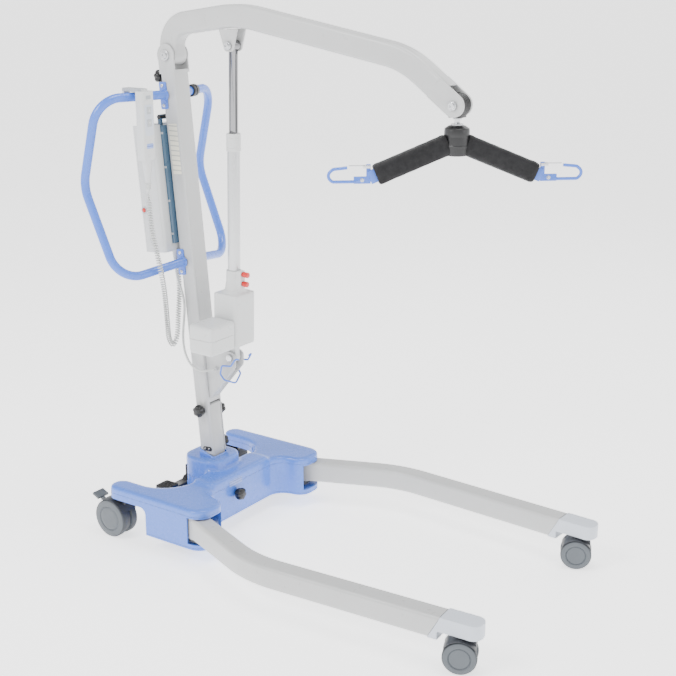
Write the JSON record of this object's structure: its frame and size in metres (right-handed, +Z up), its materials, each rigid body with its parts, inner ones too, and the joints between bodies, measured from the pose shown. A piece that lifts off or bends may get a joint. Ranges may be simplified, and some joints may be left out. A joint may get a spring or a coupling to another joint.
{
  "type": "patient lift hoist",
  "caption": "Mobile patient lift: wheeled base with spreading legs, leaning mast, actuator-driven boom and swivelling spreader bar with sling hooks.",
  "frame": {"origin": "on the floor under the middle of the lift's bounding box", "axes": "+X forward towards the leg tips, +Y to the left, +Z up"},
  "size_m": [1.1741, 0.6874, 1.3256],
  "materials": {
    "blue_cover": "moulded, semi-gloss",
    "blue_paint": "powder coat",
    "grey_paint": "satin powder coat",
    "frame_paint": "satin",
    "cap_plastic": "fine texture",
    "white_plastic": "semi-gloss",
    "black_plastic": "fine texture",
    "dark_plastic": "fine texture",
    "wheel_grey": "satin",
    "pad_black": "soft padded grip",
    "slate_plastic": "semi-gloss",
    "red_plastic": "gloss",
    "key_grey": "satin",
    "cord_white": "satin",
    "chrome": "polished",
    "zinc_steel": "zinc plated"
  },
  "bodies": {
    "base": {"base_cover": "blue_cover", "base_frame": "frame_paint", "mast_post": "grey_paint", "leg_pivot_bolts": "zinc_steel"},
    "pedal": {"spread_pedal": "black_plastic"},
    "front_knob": {"front_knob": "black_plastic"},
    "left_leg": {"left_leg_tube": "grey_paint", "left_leg_cap": "cap_plastic"},
    "right_leg": {"right_leg_tube": "grey_paint", "right_leg_cap": "cap_plastic"},
    "mast": {"mast_tube": "grey_paint", "mast_bolts": "zinc_steel", "right_handle": "blue_paint", "left_handle": "blue_paint", "control_box": "white_plastic", "handset": "white_plastic", "actuator_bracket": "grey_paint", "sling_hook": "blue_paint", "handset_cord": "cord_white", "actuator_cable": "cord_white"},
    "right_clamp_knob": {"right_clamp_knob": "black_plastic"},
    "left_clamp_knob": {"left_clamp_knob": "black_plastic"},
    "foot_clamp_knob": {"foot_clamp_knob": "black_plastic"},
    "top_knob": {"top_knob": "black_plastic"},
    "battery": {"battery": "slate_plastic"},
    "emergency_stop": {"emergency_stop": "red_plastic"},
    "up_button": {"up_button": "key_grey"},
    "down_button": {"down_button": "key_grey"},
    "boom": {"boom_tube": "grey_paint", "rod_clevis": "grey_paint", "boom_bolts": "zinc_steel"},
    "rod": {"actuator_rod": "chrome"},
    "actuator": {"actuator_tube": "grey_paint", "tube_collar": "white_plastic", "gearbox_housing": "white_plastic", "motor_cover": "white_plastic"},
    "lowering_knob": {"lowering_knob": "red_plastic"},
    "release_knob": {"release_knob": "red_plastic"},
    "hanger": {"hanger_block": "black_plastic", "swivel_stem": "zinc_steel"},
    "spreader": {"spreader_bar": "black_plastic", "spreader_pads": "pad_black", "left_hook": "blue_paint", "right_hook": "blue_paint"},
    "left_latch": {"left_latch": "zinc_steel"},
    "right_latch": {"right_latch": "zinc_steel"},
    "front_right_caster": {"front_right_caster_fork": "dark_plastic"},
    "front_right_left_wheel": {"front_right_left_wheel": "wheel_grey"},
    "front_right_right_wheel": {"front_right_right_wheel": "wheel_grey"},
    "rear_right_caster": {"rear_right_caster_fork": "dark_plastic"},
    "rear_right_left_wheel": {"rear_right_left_wheel": "wheel_grey"},
    "rear_right_right_wheel": {"rear_right_right_wheel": "wheel_grey"},
    "rear_right_brake": {"rear_right_brake_lever": "wheel_grey"},
    "front_left_caster": {"front_left_caster_fork": "dark_plastic"},
    "front_left_left_wheel": {"front_left_left_wheel": "wheel_grey"},
    "front_left_right_wheel": {"front_left_right_wheel": "wheel_grey"},
    "rear_left_caster": {"rear_left_caster_fork": "dark_plastic"},
    "rear_left_left_wheel": {"rear_left_left_wheel": "wheel_grey"},
    "rear_left_right_wheel": {"rear_left_right_wheel": "wheel_grey"},
    "rear_left_brake": {"rear_left_brake_lever": "wheel_grey"}
  },
  "joints": [
    {"name": "left_leg_spread", "type": "hinge", "parent": "base", "child": "left_leg", "pos_m": [-0.238, 0.2224, 0.0895], "axis": [0, 0, 1], "range_deg": [0, 18]},
    {"name": "right_leg_spread", "type": "hinge", "parent": "base", "child": "right_leg", "pos_m": [-0.238, -0.2224, 0.0895], "axis": [0, 0, 1], "range_deg": [-18, 0]},
    {"name": "pedal_rock", "type": "hinge", "parent": "base", "child": "pedal", "pos_m": [-0.45, 0, 0.08], "axis": [1, 0, 0], "range_deg": [0, 22]},
    {"name": "front_knob_turn", "type": "hinge", "parent": "base", "child": "front_knob", "pos_m": [-0.25, -0.027, 0.099], "axis": [1, 0, 0], "continuous": true},
    {"name": "mast_lift_off", "type": "slide", "parent": "base", "child": "mast", "axis": [-0.0906, 0, 0.9959], "range_m": [0, 0.2]},
    {"name": "right_clamp_knob_turn", "type": "hinge", "parent": "mast", "child": "right_clamp_knob", "pos_m": [-0.38197, -0.031, 0.3055], "axis": [0, -1, 0], "continuous": true},
    {"name": "left_clamp_knob_turn", "type": "hinge", "parent": "mast", "child": "left_clamp_knob", "pos_m": [-0.3807, 0.031, 0.29156], "axis": [0, 1, 0], "continuous": true},
    {"name": "foot_clamp_knob_turn", "type": "hinge", "parent": "mast", "child": "foot_clamp_knob", "pos_m": [-0.37254, 0.031, 0.20193], "axis": [0, 1, 0], "continuous": true},
    {"name": "top_knob_turn", "type": "hinge", "parent": "mast", "child": "top_knob", "pos_m": [-0.48499, 0, 1.15064], "axis": [-0.9959, 0, -0.0906], "continuous": true},
    {"name": "battery_lift", "type": "slide", "parent": "mast", "child": "battery", "axis": [-0.0906, 0, 0.9959], "range_m": [0, 0.035]},
    {"name": "stop_press", "type": "slide", "parent": "mast", "child": "emergency_stop", "axis": [0, 1, 0], "range_m": [0, 0.003]},
    {"name": "up_press", "type": "slide", "parent": "mast", "child": "up_button", "axis": [-1, 0, 0], "range_m": [0, 0.0015], "stiffness_N_per_m": 150, "springref_m": -0.001},
    {"name": "down_press", "type": "slide", "parent": "mast", "child": "down_button", "axis": [-1, 0, 0], "range_m": [0, 0.0015], "stiffness_N_per_m": 150, "springref_m": -0.001},
    {"name": "boom_lift", "type": "hinge", "parent": "mast", "child": "boom", "pos_m": [-0.46363, 0, 1.20279], "axis": [0, -1, 0], "range_deg": [-44, 38]},
    {"name": "rod_pivot", "type": "hinge", "parent": "boom", "child": "rod", "pos_m": [-0.272, 0, 1.231], "axis": [0, -1, 0], "range_deg": [-39, 44]},
    {"name": "actuator_stroke", "type": "slide", "parent": "rod", "child": "actuator", "axis": [-0.0259, 0, -0.9997], "range_m": [-0.14, 0.122]},
    {"name": "lowering_knob_turn", "type": "hinge", "parent": "actuator", "child": "lowering_knob", "pos_m": [-0.25633, 0, 0.67841], "axis": [0.9997, 0, -0.0259], "continuous": true},
    {"name": "release_press", "type": "slide", "parent": "actuator", "child": "release_knob", "axis": [-0.9997, 0, 0.0259], "range_m": [0, 0.002], "stiffness_N_per_m": 300, "springref_m": -0.002},
    {"name": "hanger_tilt", "type": "hinge", "parent": "boom", "child": "hanger", "pos_m": [0.336, 0, 1.129], "axis": [0, -1, 0], "range_deg": [-39, 45]},
    {"name": "spreader_swivel", "type": "hinge", "parent": "hanger", "child": "spreader", "pos_m": [0.336, 0, 1.0545], "axis": [0, 0, 1], "continuous": true},
    {"name": "right_latch_swing", "type": "hinge", "parent": "spreader", "child": "right_latch", "pos_m": [0.19142, -0.12132, 1.00176], "axis": [0.6428, -0.766, 0], "range_deg": [0, 24], "stiffness_Nm_per_rad": 0.02, "springref_deg": -22.92},
    {"name": "left_latch_swing", "type": "hinge", "parent": "spreader", "child": "left_latch", "pos_m": [0.48058, 0.12132, 1.00176], "axis": [-0.6428, 0.766, 0], "range_deg": [0, 24], "stiffness_Nm_per_rad": 0.02, "springref_deg": -22.92},
    {"name": "front_right_swivel", "type": "hinge", "parent": "right_leg", "child": "front_right_caster", "pos_m": [0.564, -0.287, 0.0375], "axis": [0, 0, 1], "continuous": true},
    {"name": "front_right_left_wheel_spin", "type": "hinge", "parent": "front_right_caster", "child": "front_right_left_wheel", "pos_m": [0.5439, -0.29595, 0.0375], "axis": [-0.4067, 0.9135, 0], "continuous": true},
    {"name": "front_right_right_wheel_spin", "type": "hinge", "parent": "front_right_caster", "child": "front_right_right_wheel", "pos_m": [0.5439, -0.29595, 0.0375], "axis": [-0.4067, 0.9135, 0], "continuous": true},
    {"name": "rear_right_swivel", "type": "hinge", "parent": "base", "child": "rear_right_caster", "pos_m": [-0.484, -0.23, 0.05], "axis": [0, 0, 1], "continuous": true},
    {"name": "rear_right_left_wheel_spin", "type": "hinge", "parent": "rear_right_caster", "child": "rear_right_left_wheel", "pos_m": [-0.509, -0.23, 0.05], "axis": [0, 1, 0], "continuous": true},
    {"name": "rear_right_right_wheel_spin", "type": "hinge", "parent": "rear_right_caster", "child": "rear_right_right_wheel", "pos_m": [-0.509, -0.23, 0.05], "axis": [0, 1, 0], "continuous": true},
    {"name": "rear_right_brake", "type": "hinge", "parent": "rear_right_caster", "child": "rear_right_brake", "pos_m": [-0.531, -0.23, 0.076], "axis": [0, -1, 0], "range_deg": [0, 9]},
    {"name": "front_left_swivel", "type": "hinge", "parent": "left_leg", "child": "front_left_caster", "pos_m": [0.564, 0.287, 0.0375], "axis": [0, 0, 1], "continuous": true},
    {"name": "front_left_left_wheel_spin", "type": "hinge", "parent": "front_left_caster", "child": "front_left_left_wheel", "pos_m": [0.5439, 0.27805, 0.0375], "axis": [-0.4067, 0.9135, 0], "continuous": true},
    {"name": "front_left_right_wheel_spin", "type": "hinge", "parent": "front_left_caster", "child": "front_left_right_wheel", "pos_m": [0.5439, 0.27805, 0.0375], "axis": [-0.4067, 0.9135, 0], "continuous": true},
    {"name": "rear_left_swivel", "type": "hinge", "parent": "base", "child": "rear_left_caster", "pos_m": [-0.484, 0.23, 0.05], "axis": [0, 0, 1], "continuous": true},
    {"name": "rear_left_left_wheel_spin", "type": "hinge", "parent": "rear_left_caster", "child": "rear_left_left_wheel", "pos_m": [-0.509, 0.23, 0.05], "axis": [0, 1, 0], "continuous": true},
    {"name": "rear_left_right_wheel_spin", "type": "hinge", "parent": "rear_left_caster", "child": "rear_left_right_wheel", "pos_m": [-0.509, 0.23, 0.05], "axis": [0, 1, 0], "continuous": true},
    {"name": "rear_left_brake", "type": "hinge", "parent": "rear_left_caster", "child": "rear_left_brake", "pos_m": [-0.531, 0.23, 0.076], "axis": [0, -1, 0], "range_deg": [0, 9]}
  ],
  "couplings": [
    {"joint": "right_leg_spread", "follows": "left_leg_spread", "ratio": -1},
    {"joint": "pedal_rock", "follows": "left_leg_spread", "ratio": 1.2},
    {"joint": "rod_pivot", "follows": "boom_lift", "ratio": -0.9704},
    {"joint": "actuator_stroke", "follows": "boom_lift", "m_per_rad": 0.1777},
    {"joint": "hanger_tilt", "follows": "boom_lift", "ratio": -1}
  ]
}
